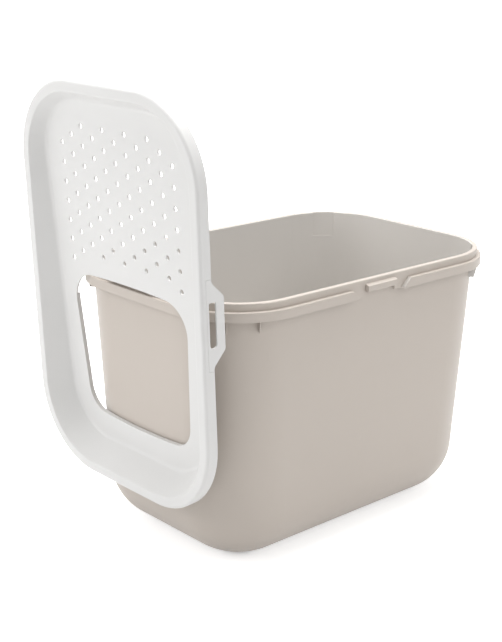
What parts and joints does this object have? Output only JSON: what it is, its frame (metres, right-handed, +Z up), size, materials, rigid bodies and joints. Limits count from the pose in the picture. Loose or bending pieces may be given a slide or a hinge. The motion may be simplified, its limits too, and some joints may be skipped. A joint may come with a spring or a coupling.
{
  "type": "top entry litter box",
  "caption": "Deep rounded litter tub with a stepped rim, and a perforated top-entry lid hung upright on its short end.",
  "frame": {"origin": "centre of the tub's base, on the floor", "axes": "+X along the tub's long side, away from the hung lid; +Y across it, away from the viewer; +Z up"},
  "size_m": [0.63, 0.4075, 0.6815],
  "materials": {
    "tub_plastic": "matte",
    "lid_plastic": "satin"
  },
  "bodies": {
    "tub_body": {"tub": "tub_plastic"},
    "lid_body": {"lid": "lid_plastic"},
    "near_tab_body": {"near_latch_tab": "lid_plastic"},
    "far_tab_body": {"far_latch_tab": "lid_plastic"}
  },
  "joints": [
    {"name": "lid_lift", "type": "slide", "parent": "tub_body", "child": "lid_body", "axis": [-0.17, 0, 0.9854], "range_m": [0, 0.33]},
    {"name": "near_tab_flex", "type": "hinge", "parent": "lid_body", "child": "near_tab_body", "pos_m": [-0.31494, -0.1815, 0.39087], "axis": [0.0492, 0, -0.9988], "range_deg": [0, 18], "stiffness_Nm_per_rad": 0.5},
    {"name": "far_tab_flex", "type": "hinge", "parent": "lid_body", "child": "far_tab_body", "pos_m": [-0.31494, 0.2115, 0.39087], "axis": [-0.0492, 0, 0.9988], "range_deg": [0, 18], "stiffness_Nm_per_rad": 0.5}
  ]
}
